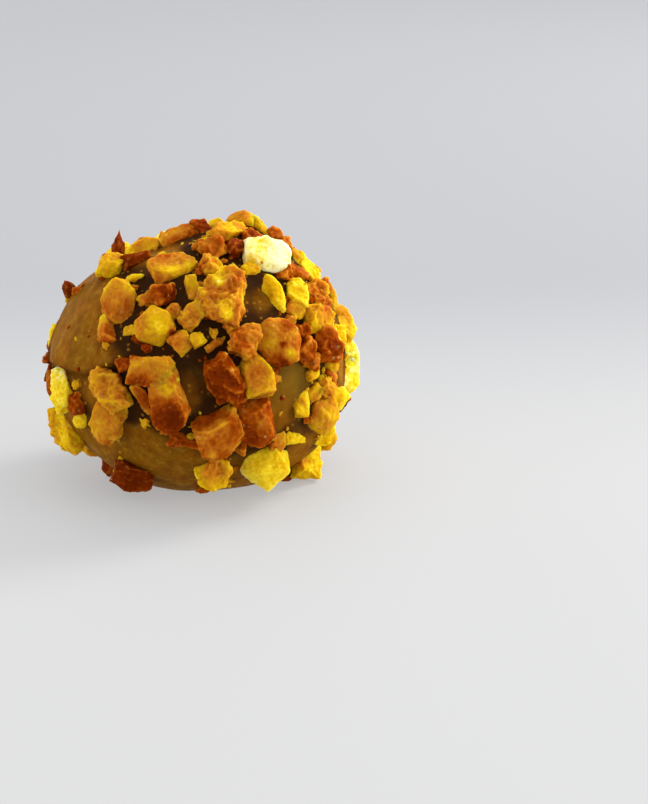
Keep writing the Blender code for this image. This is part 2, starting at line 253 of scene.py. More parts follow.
# Nut shapes: what each is broken from, thickness as a share of width, taper along the length, share of
# the thickness sunk in the fudge, and the flat breaks, each an outward direction and its distance from
# the middle in half sizes.
SHAPES = {
    "block": (
        "cube", 0.80, 0.12, 0.28,
        ((0.2, 0.1, 1, 0.84), (1, 0.8, 0.6, 1.12), (-1, 0.9, 0.7, 1.16), (0.8, -1, 0.7, 1.08),
         (-0.9, -0.8, 0.9, 1.20)),
    ),
    "wedge": (
        "cube", 0.75, 0.35, 0.28,
        ((0.5, 0.1, 1, 0.40), (-1, 0.5, 0.5, 1.00), (0.7, 1, 0.1, 1.02), (-0.5, -1, 0.3, 1.04)),
    ),
    "slab": (
        "cube", 0.52, 0.18, 0.32,
        ((1, 0.8, 0.2, 1.00), (0.9, -1, 0, 1.10), (-1, -0.7, 0.2, 1.04), (-0.6, 1, 0.1, 1.06),
         (0.1, 0.15, 1, 0.80)),
    ),
    "round": ("pebble", 0.66, 0.12, 0.28, ((0.1, 0, -1, 0.45), (-0.8, 0.5, 0.45, 0.80))),
    "seed": ("pebble", 0.62, 0.50, 0.32, ((0, 0, -1, 0.60),)),
    "crag": (
        "cube", 0.82, 0.22, 0.26,
        ((1, 1, 0.5, 1.02), (-1, 0.7, 0.8, 1.00), (-0.7, -1, 0.4, 1.04), (0.8, -0.8, 1, 1.06),
         (0.2, 0.1, 1, 0.82), (-1, 0.1, -0.3, 0.86), (0.2, 1, -0.3, 0.88)),
    ),
    "shard": (
        "cube", 0.70, 0.60, 0.28,
        ((0.2, 0.8, 0.8, 0.66), (-1, 0.3, 0.5, 0.96), (0.3, -0.9, 0.5, 0.72)),
    ),
    "drop": ("pebble", 0.60, 0.75, 0.30, ((0, 0, -1, 0.50),)),
    "spike": ("pebble", 0.85, 0.80, 0.30, ((0.3, 1, 0.2, 0.50), (0.3, -0.8, 0.7, 0.55))),
    "flake": ("cube", 0.34, 0.25, 0.30, ((-1, 0.7, 0, 1.0), (0.9, -1, 0, 1.0), (1, 0.8, 0.2, 1.1))),
    "kernel": (
        "pebble", 0.72, -0.12, 0.26,
        ((0.30, 0.12, 1, 0.52), (-0.72, 0.1, 0.70, 0.50), (-1, 0.05, 0, 0.80), (1, 0.25, 0.1, 0.74),
         (0.1, 1, 0.15, 0.66), (0.3, -1, 0.25, 0.62)),
    ),
}

# The pieces that show in front: shape, roast at its root and at its tip, place across and up from the
# ball's middle, length, width, and the turn from root to tip in degrees, anticlockwise from the right.
FRONT_COAT = (
    ("spike", 0.90, 0.80, -8.0, 12.5, 3.6, 1.5, 86),
    ("round", 0.78, 0.74, -9.2, 11.2, 1.8, 1.5, 0),
    ("block", 0.34, 0.44, -8.4, 10.0, 2.9, 2.7, 60),
    ("seed", 0.30, 0.22, -6.2, 9.0, 2.1, 1.1, 15),
    ("shard", 0.98, 0.90, -6.0, 10.7, 3.1, 2.0, 20),
    ("slab", 0.40, 0.50, -5.4, 11.9, 4.2, 2.0, 18),
    ("block", 0.60, 0.72, -1.6, 12.9, 4.2, 2.3, 18),
    ("wedge", 0.86, 0.80, 1.0, 13.9, 2.8, 2.0, -35),
    ("flake", 0.32, 0.26, 0.2, 12.6, 3.2, 1.0, 8),
    ("slab", 0.56, 0.48, -2.2, 9.9, 4.7, 3.4, 22),
    ("crag", 0.66, 0.82, -3.7, 6.8, 3.3, 2.3, 15),
    ("wedge", 0.58, 0.50, -0.2, 7.6, 3.0, 1.7, 105),
    ("round", 0.64, 0.36, -7.7, 6.2, 4.9, 4.3, 100),
    ("shard", 0.57, 0.54, -9.2, 3.5, 3.5, 2.3, 105),
    ("block", 0.46, 0.42, -6.8, 3.2, 1.5, 1.3, 0),
    ("round", 0.40, 0.44, -4.0, 3.5, 4.3, 4.0, -15),
    ("wedge", 0.46, 0.42, -1.4, 1.8, 2.4, 2.1, -60),
    ("block", 0.46, 0.48, 0.2, 2.3, 1.6, 1.5, 30),
    ("spike", 0.98, 0.92, -13.5, 8.1, 2.3, 1.6, 120),
    ("shard", 0.80, 0.70, -12.2, 7.7, 1.6, 1.0, 10),
    ("slab", 0.20, 0.24, -15.1, 2.6, 3.3, 1.2, 82),
    ("crag", 0.84, 0.84, -15.3, 0.7, 1.2, 1.2, 0),
    ("round", 0.52, 0.42, 5.5, 15.6, 3.8, 2.9, -20),
    ("wedge", 0.54, 0.38, 3.8, 13.6, 4.2, 2.6, 20),
    ("shard", 0.40, 0.34, 7.4, 13.7, 3.4, 1.7, -46),
    ("crag", 0.68, 0.60, 9.5, 12.1, 2.4, 1.8, -50),
    ("block", 0.08, 0.00, 7.5, 10.6, 4.8, 3.6, -8),
    ("block", 0.40, 0.36, 5.9, 9.6, 1.9, 1.4, 10),
    ("seed", 0.26, 0.20, 4.4, 9.5, 2.5, 1.1, -60),
    ("crag", 0.74, 0.66, 2.0, 11.6, 2.7, 2.5, 30),
    ("crag", 0.57, 0.50, 1.9, 9.8, 2.8, 2.3, -30),
    ("crag", 0.56, 0.50, 2.8, 6.3, 6.1, 4.3, 80),
    ("crag", 0.58, 0.50, -0.3, 4.7, 3.0, 2.2, 40),
    ("seed", 0.20, 0.27, 8.2, 6.7, 4.9, 2.5, 103),
    ("block", 0.22, 0.26, 10.6, 6.8, 3.6, 2.4, 88),
    ("shard", 0.74, 0.66, 10.6, 9.2, 3.2, 2.2, -15),
    ("crag", 0.52, 0.46, 10.8, 10.8, 2.0, 1.6, -40),
    ("slab", 0.28, 0.34, 12.1, 9.3, 3.4, 2.4, -60),
    ("crag", 0.50, 0.44, 12.6, 6.9, 2.9, 2.5, 40),
    ("crag", 0.60, 0.48, 14.0, 7.6, 2.8, 2.0, -45),
    ("block", 0.42, 0.52, 12.6, 4.2, 3.8, 3.0, 5),
    ("slab", 0.34, 0.40, 15.7, 3.9, 4.2, 2.7, 92),
    ("round", 0.66, 0.56, 8.3, 1.7, 5.6, 4.8, 110),
    ("shard", 0.48, 0.44, 2.3, 2.0, 3.0, 1.1, 35),
    ("crag", 0.58, 0.66, 5.0, 1.9, 3.9, 3.3, 70),
    ("crag", 0.76, 0.70, 13.5, 1.4, 3.7, 3.1, 110),
    ("block", 0.18, 0.24, 14.5, 1.6, 1.7, 1.5, 0),
    ("crag", 0.80, 0.84, 2.9, -2.0, 5.2, 3.6, 115),
    ("block", 0.46, 0.50, 6.2, -1.6, 4.1, 3.0, 100),
    ("block", 0.78, 0.74, 6.0, -6.3, 4.3, 3.7, 95),
    ("block", 0.70, 0.62, 2.2, -7.3, 5.0, 4.1, 25),
    ("shard", 0.84, 0.80, -1.2, -8.3, 3.4, 2.0, -15),
    ("drop", 0.42, 0.34, 11.1, -4.5, 3.2, 2.3, 65),
    ("round", 0.54, 0.46, 13.0, -5.7, 4.4, 3.9, 60),
    ("shard", 0.34, 0.28, 10.4, -8.3, 3.0, 1.4, -8),
    ("round", 0.17, 0.24, 6.8, -10.8, 5.5, 5.0, 60),
    ("wedge", 0.52, 0.60, 8.4, -8.6, 2.1, 1.9, 80),
    ("wedge", 0.32, 0.22, 12.0, -10.4, 5.0, 3.6, 70),
    ("crag", 0.50, 0.46, 1.6, -11.3, 3.5, 3.2, 40),
    ("block", 0.66, 0.66, 0.5, -13.3, 1.5, 1.2, 0),
    ("slab", 0.20, 0.16, 16.0, 0.9, 3.0, 2.8, 90),
    ("slab", 0.16, 0.13, 16.1, -1.6, 4.7, 3.2, 88),
    ("shard", 0.60, 0.52, 14.1, -1.4, 3.3, 1.9, 70),
    ("round", 0.26, 0.22, 14.8, -4.2, 3.4, 2.8, 20),
    ("kernel", 0.90, 0.50, -2.8, -3.7, 7.5, 4.0, 99),
    ("block", 0.54, 0.68, -4.6, -1.0, 4.6, 3.2, 172),
    ("flake", 0.66, 0.62, -5.1, -4.5, 5.2, 1.5, 120),
    ("shard", 0.86, 0.82, -6.4, 0.0, 3.6, 1.5, 15),
    ("crag", 0.48, 0.56, -8.6, -2.8, 5.1, 3.3, 128),
    ("block", 0.54, 0.48, -8.9, -5.7, 4.3, 3.6, 75),
    ("round", 0.78, 0.72, -15.3, -2.6, 4.2, 2.3, 92),
    ("wedge", 0.20, 0.16, -13.9, -2.4, 4.6, 2.9, 110),
    ("crag", 0.72, 0.66, -12.5, -4.0, 2.4, 1.8, 90),
    ("block", 0.26, 0.20, -12.0, -5.7, 2.0, 1.5, 60),
    ("crag", 0.32, 0.42, -13.6, -6.8, 5.6, 3.9, 125),
    ("block", 0.98, 0.90, -6.6, -11.5, 4.4, 3.1, -22),
)

# Smaller pieces that fill the gaps between those, in the same order.
FRONT_FILL = (
    ("crag", 0.92, 0.86, 4.3, 11.7, 2.4, 2.0, 20),
    ("crag", 0.68, 0.62, 9.4, 9.0, 2.4, 1.8, -30),
    # This piece stands where the gap lies in shadow: its dark roast is partly painted shade.
    ("wedge", 0.74, 0.70, 8.7, 12.8, 2.4, 2.0, -40),
    ("crag", 0.66, 0.60, 6.3, 12.9, 2.3, 1.7, -10),
    # This piece stands where the gap lies in shadow: its dark roast is partly painted shade.
    ("crag", 0.72, 0.66, 13.6, 5.8, 2.2, 1.6, 60),
    ("crag", 0.84, 0.78, 11.1, 3.0, 2.1, 1.5, 30),
    ("wedge", 0.56, 0.48, 0.7, 6.2, 2.2, 1.6, 70),
    ("crag", 0.92, 0.88, 4.3, -4.6, 1.7, 1.3, 10),
    ("shard", 0.90, 0.96, 8.5, -0.9, 1.6, 1.1, 40),
    ("crag", 0.76, 0.70, 0.8, 12.0, 2.0, 1.4, 30),
    ("crag", 0.80, 0.72, -7.9, 8.1, 1.8, 1.2, 50),
    ("block", 0.62, 0.58, -5.2, 6.6, 1.6, 1.2, 20),
    ("crag", 0.60, 0.52, -2.3, 5.2, 1.8, 1.3, 60),
    ("crag", 0.72, 0.64, 12.2, -0.2, 2.0, 1.5, 80),
    ("wedge", 0.50, 0.42, 14.0, 3.4, 2.2, 1.7, 100),
    ("crag", 0.46, 0.40, 13.4, -2.8, 2.6, 2.2, 70),
    ("block", 0.40, 0.34, 12.3, -1.5, 1.7, 1.2, 20),
    ("crag", 0.60, 0.52, 10.4, 5.2, 2.0, 1.4, -20),
    ("shard", 0.66, 0.60, 4.9, -8.9, 1.9, 1.2, 60),
    ("crag", 0.66, 0.60, 3.9, 3.8, 2.2, 1.5, 50),
    ("crag", 0.74, 0.68, 11.5, 0.9, 2.6, 2.0, 60),
    ("block", 0.50, 0.44, 14.2, -0.1, 2.2, 1.8, 80),
    ("wedge", 0.38, 0.32, 15.0, 2.4, 2.4, 1.9, 85),
    ("crag", 0.54, 0.48, 14.8, 5.6, 2.0, 1.6, 70),
    ("slab", 0.26, 0.20, 13.4, -8.0, 2.6, 2.1, 60),
    ("block", 0.50, 0.44, 12.4, -3.4, 1.8, 1.4, 40),
    ("crag", 0.58, 0.52, 9.9, 3.9, 1.7, 1.2, 30),
)

SCATTER_SEED = 21
SCATTER_TRIES = 1700
SCATTER_LARGEST = 6.2
SCATTER_SMALLEST = 1.7
SCATTER_SHRINK = 0.7  # below 1, the lengths fall off faster at first than later
SCATTER_LENGTHS = (0.85, 1.1)  # how much a piece strays from its length, and its width as a share of that
SCATTER_WIDTHS = (0.6, 0.92)
SCATTER_GAP = 0.40  # closest spacing, as a share of the two lengths together
SCATTER_SHAPES = ("block", "crag", "round", "wedge", "slab", "block", "crag", "shard", "seed", "drop")
SCATTER_ROASTS = (YELLOW, GOLD, ORANGE, TAN, GOLD, BROWN, TAN, ORANGE, DARK, PALE)
FRONT_EDGE = 0.02  # how far round the layout reaches, as the cosine from the eye's direction
RIM_EDGE = -0.45  # how far behind that the scattered pieces are kept small, and how long they are at most
RIM_LARGEST = 4.2
BARE_PATCHES = (
    (Vector((-0.84, 0.28, 0.46)), 23),
    (Vector((-0.70, 0.62, 0.35)), 20),
    (Vector((0.55, 0.80, -0.25)), 17),
    (Vector((0.15, 0.75, 0.65)), 12),
    (Vector((0.0, 0.0, -1.0)), 16),
)
TILT_SEED = 5
MOST_TILT = 22  # degrees that a piece leans from lying flat on the fudge
BLUSH_SEED = 44
MOST_BLUSH = 0.12  # how much more or less a scattered piece is roasted at its tip than at its root


def fudge_radius(direction):
    """The ball's radius in one direction from its middle, swells and hollows included."""
    d = direction.normalized()
    radius = 1 / math.sqrt(sum((d[k] / HALF_SIZE[k]) ** 2 for k in range(3)))
    for towards, height, spread in SWELLS:
        radius += height * math.exp(-((towards.angle(d) / math.radians(spread)) ** 2))
    return radius


def outward(direction):
    """The ball's outward normal, near enough, where a direction from its middle meets its skin."""
    return Vector(direction[k] / HALF_SIZE[k] ** 2 for k in range(3)).normalized()


def seen_place(across, up):
    """Where the line of sight through a point across and up from the ball's middle meets the skin: the
    direction from the middle, and how far off the skin the sight passes, 0 where it meets it."""
    start = EYE_RIGHT * across + EYE_UP * up
    sight = (start - EYE_BACK * EYE_DISTANCE).normalized()
    steps = int(SIGHT_REACH / SIGHT_STEP)
    closest = None
    for step in range(-steps, steps):
        at = start + sight * (step * SIGHT_STEP)
        gap = at.length - fudge_radius(at)
        if gap <= 0:
            return at.normalized(), 0.0
        if closest is None or gap < closest[1]:
            closest = (at.normalized(), gap)
    return closest


def seen_at(point):
    """The other way round: how far across and up from the ball's middle a point is seen."""
    away = point - MIDDLE
    nearer = EYE_DISTANCE / (EYE_DISTANCE - away.dot(EYE_BACK))
    return away.dot(EYE_RIGHT) * nearer, away.dot(EYE_UP) * nearer


def lying_frame(normal, along, lean):
    """A turn with Z out of the fudge and X along the piece, leaning a little."""
    side = normal.cross(along).normalized()
    flat = Matrix((side.cross(normal), side, normal)).transposed()
    tilt = Matrix.Rotation(lean[0], 3, "X") @ Matrix.Rotation(lean[1], 3, "Y")
    return flat @ tilt


def nut_place(shape, direction, gap, length, width):
    """Where the middle of a piece is, part sunk in the fudge."""
    _, thickness, _, sunk, _ = SHAPES[shape]
    depth = width * thickness
    middle = MIDDLE + direction * fudge_radius(direction)
    if gap > 0:
        reach = length * SPIKE_PROUD if shape == "spike" else depth * MOST_PROUD
        middle += direction * min(gap, reach)
    else:
        middle += outward(direction) * depth * (0.5 - sunk)
    return middle


def leans(draw):
    return [math.radians(draw.uniform(-MOST_TILT, MOST_TILT)) for _ in range(2)]


def lay_front(rows):
    """The listed pieces, each a shape, two roasts, length, width, middle, turn and direction."""
    draw = random.Random(TILT_SEED)
    laid = []
    for shape, roast, tip, across, up, length, width, turn in rows:
        direction, gap = seen_place(across, up)
        angle = math.radians(turn)
        sideways = EYE_RIGHT * math.cos(angle) + EYE_UP * math.sin(angle)
        facing = (outward(direction) + EYE_BACK * FACING).normalized()
        if shape == "spike":
            normal, along = EYE_BACK, sideways
        else:
            normal = facing
            along = sideways - EYE_BACK * (sideways.dot(facing) / facing.dot(EYE_BACK))
        middle = nut_place(shape, direction, gap, length, width)
        lying = lying_frame(normal, along, leans(draw))
        laid.append((shape, roast, tip, length, width, middle, lying, direction))
    return laid


def in_bare_patch(direction):
    return any(direction.angle(middle) < math.radians(reach) for middle, reach in BARE_PATCHES)


def any_direction(draw, lowest):
    """A random direction, evenly spread over the ball, down to the lowest Z given."""
    z = draw.uniform(lowest, 1)
    angle = draw.uniform(0, 2 * math.pi)
    ring = math.sqrt(1 - z * z)
    return Vector((ring * math.cos(angle), ring * math.sin(angle), z))


def scatter_rest(laid):
    """The pieces of the sides, back and underside, the largest first, each clear of those before it."""
    draw = random.Random(SCATTER_SEED)
    blush = random.Random(BLUSH_SEED)
    taken = [(direction, length) for _, _, _, length, _, _, _, direction in laid]
    fallen = []
    for attempt in range(SCATTER_TRIES):
        share = (attempt / SCATTER_TRIES) ** SCATTER_SHRINK
        length = SCATTER_LARGEST + (SCATTER_SMALLEST - SCATTER_LARGEST) * share
        length *= draw.uniform(*SCATTER_LENGTHS)
        direction = any_direction(draw, -1)
        width = length * draw.uniform(*SCATTER_WIDTHS)
        spin = draw.uniform(0, 2 * math.pi)
        shape = draw.choice(SCATTER_SHAPES)
        roast = draw.choice(SCATTER_ROASTS)
        lean = leans(draw)
        reach = fudge_radius(direction)
        towards_eye = direction.dot(EYE_BACK)
        if towards_eye > FRONT_EDGE or in_bare_patch(direction):
            continue
        if towards_eye > RIM_EDGE and length > RIM_LARGEST:
            continue
        if any(direction.angle(d) * reach < SCATTER_GAP * (length + other) for d, other in taken):
            continue
        normal = outward(direction)
        across = normal.orthogonal().normalized()
        along = Matrix.Rotation(spin, 3, normal) @ across
        middle = nut_place(shape, direction, 0, length, width)
        tip = roast + blush.uniform(-MOST_BLUSH, MOST_BLUSH)
        fallen.append((shape, roast, tip, length, width, middle, lying_frame(normal, along, lean), direction))
        taken.append((direction, length))
    return fallen


front_nuts = lay_front(FRONT_COAT)
back_nuts = scatter_rest(front_nuts)
front_nuts += lay_front(FRONT_FILL)
all_nuts = front_nuts + back_nuts

# ---------------------------------------------------------------------------------------------------------
# The chopped nuts. Each is a broken piece of a roasted pistachio: a dry, granular break with worn
# corners, cream to gold inside and tan to dark brown where the roasting or its skin coloured it.

FRONT_GRAIN = 0.115  # how fine the mesh of a nut is, in front and elsewhere
BACK_GRAIN = 0.19
CORNER = 0.035  # how much of its width is worn off an edge
CHIPS = {"block": 5, "crag": 7, "wedge": 4, "slab": 4, "round": 3, "kernel": 3, "shard": 2}
CHIP_NEAREST = 0.66  # how close to the middle a chip may cut, and how far, as shares of the reach that way
CHIP_FURTHEST = 0.88
CHIP_UPWARDS = 0.4  # how far a chip's direction leans upwards on average
PEBBLE_REACH = 1.15  # how far a pebble is taken to reach in every direction
WARP_SEED = 6
WARP_SIZE = 0.75  # how far apart a nut's own bends are, and how deep, as shares of its width
WARP_DEPTH = 0.08
RIDGE_SIZE = 1.9  # how far apart the sharp ridges of a break are, and how high they stand
RIDGE_HEIGHT = {"crag": 0.80, "kernel": 0.28, "round": 0.16, "seed": 0.10, "drop": 0.08, "flake": 0.10}
RIDGE_HEIGHT_ELSE = 0.32
RIDGE_FINER = 3  # times the ridges are repeated, each time at half the size
RIDGE_LEVEL = 0.38  # where between ridge and hollow a break is neither raised nor sunk
CRUMB_SIZE = 0.45  # the same for the finer crumb of the break
CRUMB_HEIGHT = 0.08
CRUMB_FINER = 3
PATCH_SIZE = 2.0  # how far apart the lighter and darker roasted patches of one nut are
PATCH_LEAST = 0.10  # how much those patches differ, and how much more on a nut roasted so far
PATCH_MORE = 0.26
PATCH_PEAK = 0.58
PATCH_SPREAD = 0.20
RELIEF_REACH = 0.16  # the bend between neighbouring points that counts as a full ridge or hollow
RELIEF_BLUR = 2  # how often a nut's relief is evened out between neighbouring points
RIDGE_STEPS = (17.3, 5.9, 31.7)  # how far on in the noise each next nut's ridges are taken, and its patches
PATCH_STEPS = (7.7, 3.1, 11.9)

# Single marks on the nuts in front, such as a scorch, a scrap of skin, a fresh break or a painted shadow:
# place across and up, reach, and how far the nut is roasted there.
MARKS = (
    (-2.5, 3.2, 0.35, 1.05),
    (-3.3, -0.6, 1.70, 0.46),
    (-3.2, -3.0, 1.10, 0.34),
    (-2.5, -1.9, 0.35, 0.76),
    (-3.0, -4.8, 0.80, 0.84),
    (-2.7, -6.2, 1.20, 1.02),
    (-1.2, -3.9, 0.60, 0.56),
    (-1.0, -5.6, 0.55, 0.60),
    (-1.9, -1.9, 0.20, 0.10),
    (-7.3, 5.8, 1.30, 0.68),
    (-0.6, 10.4, 0.80, 0.30),
    (9.4, 1.7, 0.35, 0.98),
    (9.5, -0.4, 0.60, 0.98),
    (10.2, 0.7, 0.60, 0.26),
    (7.4, 3.2, 1.20, 0.54),
    (6.4, -2.1, 0.80, 0.60),
    (5.2, 0.2, 0.80, 0.50),
    (8.2, 7.2, 0.90, 0.36),
    (11.2, -4.4, 0.50, 0.48),
    # This mark is painted shadow at the left of the yellow wedge beside it.
    (11.0, -10.8, 1.00, 0.58),
    (1.6, -10.1, 1.00, 0.56),
    (2.6, 8.6, 0.50, 0.08),
    (3.6, 5.0, 0.60, 0.22),
    (2.0, 6.8, 0.50, 0.66),
    (3.6, 7.0, 0.40, 0.62),
    (2.8, -6.8, 0.70, 0.50),
    (3.9, -0.9, 0.40, 0.50),
    (-8.0, -6.0, 0.80, 0.56),
)
MARK_RANGE = 5.0  # how far from a nut's middle a mark can still fall on it

# The kinds of nut, by how far they are roasted, each with the name of one of the record's slots.
NUT_KINDS = (
    ("pale_nuts", 0.00, 0.36, "pale_nut"),
    ("golden_nuts", 0.36, 0.49, "pale_nut"),
    ("tan_nuts", 0.49, 0.61, "roasted_nut"),
    ("toasted_nuts", 0.61, 0.79, "roasted_nut"),
    ("dark_nuts", 0.79, 1.20, "roasted_nut"),
)


def paint(red, green, blue):
    """A colour picked on a 0 to 255 paint chart, as the shaders want it."""
    shares = [value / 255 for value in (red, green, blue)]
    return tuple(s / 12.92 if s < 0.04045 else ((s + 0.055) / 1.055) ** 2.4 for s in shares) + (1,)


def break_off(normal, distance):
    """Cuts off what lies beyond a plane and closes the cut. The nut is in edit mode."""
    bpy.ops.mesh.select_all(action="SELECT")
    bpy.ops.mesh.bisect(plane_co=normal * distance, plane_no=normal, use_fill=True, clear_outer=True)


def blank_nut(name, shape, seed):
    """The block or pebble that a nut is broken from: tapered towards its tip, broken along its flats, and
    with a few corners chipped off, each nut its own."""
    start, _, taper, _, breaks = SHAPES[shape]
    draw = random.Random(seed)
    deselect()
    if start == "cube":
        bpy.ops.mesh.primitive_cube_add(size=2, location=(0, 0, 0))
    else:
        bpy.ops.mesh.primitive_ico_sphere_add(subdivisions=1, radius=1, location=(0, 0, 0))
    nut = bpy.context.object
    nut.name = name
    for vert in nut.data.vertices:
        slim = 1 - taper * (0.5 + 0.5 * vert.co.x)
        vert.co.y *= slim
        vert.co.z *= slim
    bpy.ops.object.mode_set(mode="EDIT")
    for x, y, z, distance in breaks:
        break_off(Vector((x, y, z)).normalized(), distance)
    for _ in range(CHIPS.get(shape, 0)):
        normal = Vector((draw.gauss(0, 1), draw.gauss(0, 1), draw.gauss(CHIP_UPWARDS, 1))).normalized()
        reach = sum(abs(part) for part in normal) if start == "cube" else PEBBLE_REACH
        break_off(normal, reach * draw.uniform(CHIP_NEAREST, CHIP_FURTHEST))
    bpy.ops.object.mode_set(mode="OBJECT")
    return nut


def size_to(nut, length, width, thickness):
    """Stretches a nut to its length, width and thickness in mm, about its own middle."""
    points = [v.co.copy() for v in nut.data.vertices]
    low = Vector(min(p[k] for p in points) for k in range(3))
    high = Vector(max(p[k] for p in points) for k in range(3))
    wanted = Vector((length, width, thickness))
    for vert, point in zip(nut.data.vertices, points):
        vert.co = Vector(((point[k] - low[k]) / (high[k] - low[k]) - 0.5) * wanted[k] for k in range(3))


def wear(nut, width, grain):
    """Rounds the edges of the breaks and gives the nut an even mesh."""
    bevel = nut.modifiers.new("worn_edges", "BEVEL")
    bevel.width = width * CORNER
    bevel.segments = 2
    bevel.limit_method = "ANGLE"
    even = nut.modifiers.new("even_mesh", "REMESH")
    even.mode = "VOXEL"
    even.voxel_size = grain
    even.use_smooth_shade = True
    for modifier in ("worn_edges", "even_mesh"):
        bpy.ops.object.modifier_apply(modifier=modifier)


def roughen(nut, shape, width, seed):
    """Bends the nut a little and raises the ridges and the crumb of its break, each nut with its own."""
    own = Vector(step * seed for step in RIDGE_STEPS)
    tall = RIDGE_HEIGHT.get(shape, RIDGE_HEIGHT_ELSE)
    mesh = nut.data
    normals = [v.normal.copy() for v in mesh.vertices]
    for vert, normal in zip(mesh.vertices, normals):
        bend = noise.noise_vector((vert.co + own) / (width * WARP_SIZE)) * width * WARP_DEPTH
        ridge = RIDGE_LEVEL - noise.turbulence((vert.co + own) / RIDGE_SIZE, RIDGE_FINER, True)
        crumb = noise.fractal((vert.co - own) / CRUMB_SIZE, 1.0, 2.0, CRUMB_FINER)
        vert.co += bend + normal * (ridge * tall + crumb * CRUMB_HEIGHT)
    mesh.update()


def bends(mesh):
    """How far each point of a mesh stands out from its neighbours, 0 in a hollow and 1 on a ridge."""
    count = len(mesh.vertices)
    bend = [0.0] * count
    near = [[] for _ in range(count)]
    for edge in mesh.edges:
        a, b = edge.vertices
        first, second = mesh.vertices[a], mesh.vertices[b]
        run = second.co - first.co
        bend[a] -= run.dot(first.normal) / run.length
        bend[b] += run.dot(second.normal) / run.length
        near[a].append(b)
        near[b].append(a)
    bend = [min(max(bend[k] / max(len(near[k]), 1) / RELIEF_REACH, -1), 1) for k in range(count)]
    for _ in range(RELIEF_BLUR):
        bend = [(bend[k] + sum(bend[j] for j in near[k])) / (1 + len(near[k])) for k in range(count)]
    return [0.5 + 0.5 * value for value in bend]


def note_roast(nut, roast, tip, length, seed):
    """Writes on the nut how far each point is roasted, and whether it is on a ridge or in a hollow."""
    own = Vector(step * seed for step in PATCH_STEPS)
    patchy = PATCH_LEAST + PATCH_MORE * math.exp(-(((roast - PATCH_PEAK) / PATCH_SPREAD) ** 2))
    mesh = nut.data
    roasts = mesh.attributes.new("roast", "FLOAT", "POINT")
    reliefs = mesh.attributes.new("relief", "FLOAT", "POINT")
    for index, (vert, relief) in enumerate(zip(mesh.vertices, bends(mesh))):
        towards_tip = min(max(vert.co.x / length + 0.5, 0), 1)
        patch = noise.noise((vert.co + own) / PATCH_SIZE)
        roasts.data[index].value = roast + (tip - roast) * towards_tip + patch * patchy
        reliefs.data[index].value = relief


def place_piece(obj, middle, turn):
    """Puts a piece modelled in mm about its own middle at its place in the frame, in metres."""
    obj.data.transform(Matrix.Translation(middle * MM) @ turn.to_4x4() @ Matrix.Scale(MM, 4))


def add_marks(nut, middle):
    """Draws the roast of a nut in front towards that of each mark that falls on it, fading outwards."""
    nut_across, nut_up = seen_at(middle)
    for across, up, reach, roast in MARKS:
        if math.hypot(across - nut_across, up - nut_up) > MARK_RANGE:
            continue
        for vert, value in zip(nut.data.vertices, nut.data.attributes["roast"].data):
            vert_across, vert_up = seen_at(vert.co / MM)
            far = math.hypot(vert_across - across, vert_up - up)
            value.value += (roast - value.value) * math.exp(-((far / reach) ** 2))


def join(pieces, name):
    """Makes one object of several, named for their kind."""
    deselect()
    for obj in pieces:
        obj.select_set(True)
    bpy.context.view_layer.objects.active = pieces[0]
    bpy.ops.object.join()
    pieces[0].name = name
    pieces[0].data.name = name
    return pieces[0]


def choose(obj):
    """Makes one object the only one that an operator acts on."""
    deselect()
    obj.select_set(True)
    bpy.context.view_layer.objects.active = obj


def rest_on_table(obj):
    """Cuts off flat what would stand below the table."""
    choose(obj)
    bpy.ops.object.mode_set(mode="EDIT")
    bpy.ops.mesh.select_all(action="SELECT")
    bpy.ops.mesh.bisect(
        plane_co=(0, 0, 0), plane_no=(0, 0, -1), use_fill=True, clear_outer=True, threshold=TABLE_NEARNESS
    )
    bpy.ops.object.mode_set(mode="OBJECT")


noise.seed_set(WARP_SEED)
by_kind = {name: [] for name, _, _, _ in NUT_KINDS}
for number, (shape, roast, tip, length, width, middle, turn, _) in enumerate(all_nuts):
    in_front = number < len(front_nuts)
    piece = blank_nut(f"nut_{number:03d}", shape, number)
    size_to(piece, length, width, width * SHAPES[shape][1])
    wear(piece, width, FRONT_GRAIN if in_front else BACK_GRAIN)
    roughen(piece, shape, width, number)
    note_roast(piece, roast, tip, length, number)
    place_piece(piece, middle, turn)
    if in_front:
        add_marks(piece, middle)
    for name, lightest, darkest, _ in NUT_KINDS:
        if lightest <= (roast + tip) / 2 < darkest:
            by_kind[name].append(piece)

# How a nut's colour deepens as it roasts: how far it is roasted, and the colour of its break.
ROASTING = (
    (CREAM, paint(255, 250, 190)),
    (PALE, paint(242, 211, 46)),
    (YELLOW, paint(218, 175, 8)),
    (GOLD, paint(200, 143, 18)),
    (TAN, paint(186, 110, 22)),
    (ORANGE, paint(160, 71, 2)),
    (BROWN, paint(124, 44, 0)),
    (DARK, paint(96, 30, 0)),
)
# Pale worn colour on the ridges: partly wear, partly painted highlight.
WORN_HIGHLIGHT_COLOUR = paint(214, 142, 36)
SKIN_COLOUR = paint(150, 62, 4)
DUST_COLOUR = paint(222, 170, 58)
# Pale dots painted as glints of light.
GLINT_SPECK_COLOUR = paint(236, 200, 120)

HOLLOW_SHADE_RIDGE_LIGHT = 0.20  # how much darker a hollow is painted than a ridge, counted in roast: painted shade in the hollows, painted light on the ridges
GRAIN_SWAY = 0.22  # how much further roasted one grain of the crumb looks than another
WORN_HIGHLIGHT_SHARE = 0.25  # how strongly the pale worn colour, partly painted highlight, shows on a ridge
# Where each mask over the roasted colour starts and where it is full, in the value that it reads.
RIDGE_WORN_HIGHLIGHT = (0.60, 0.95)
SKIN_SCRAP = (0.58, 0.66)
DUSTY_CRUMB = (0.46, 0.70)
DUST_UNSCORCHED = (0.80, 0.62)
GLINT_SPECK_EDGE = (0.46, 0.10)
GLINT_SPECK_RARE = (0.90, 0.96)


def noise_pattern(tree, place, scale, detail, roughness):
    """A cloudy pattern from 0 to 1, with so many clouds a metre. Returns its output."""
    node = add_node(tree, "ShaderNodeTexNoise", Vector=place, Scale=scale, Detail=detail, Roughness=roughness)
    return node.outputs["Fac"]


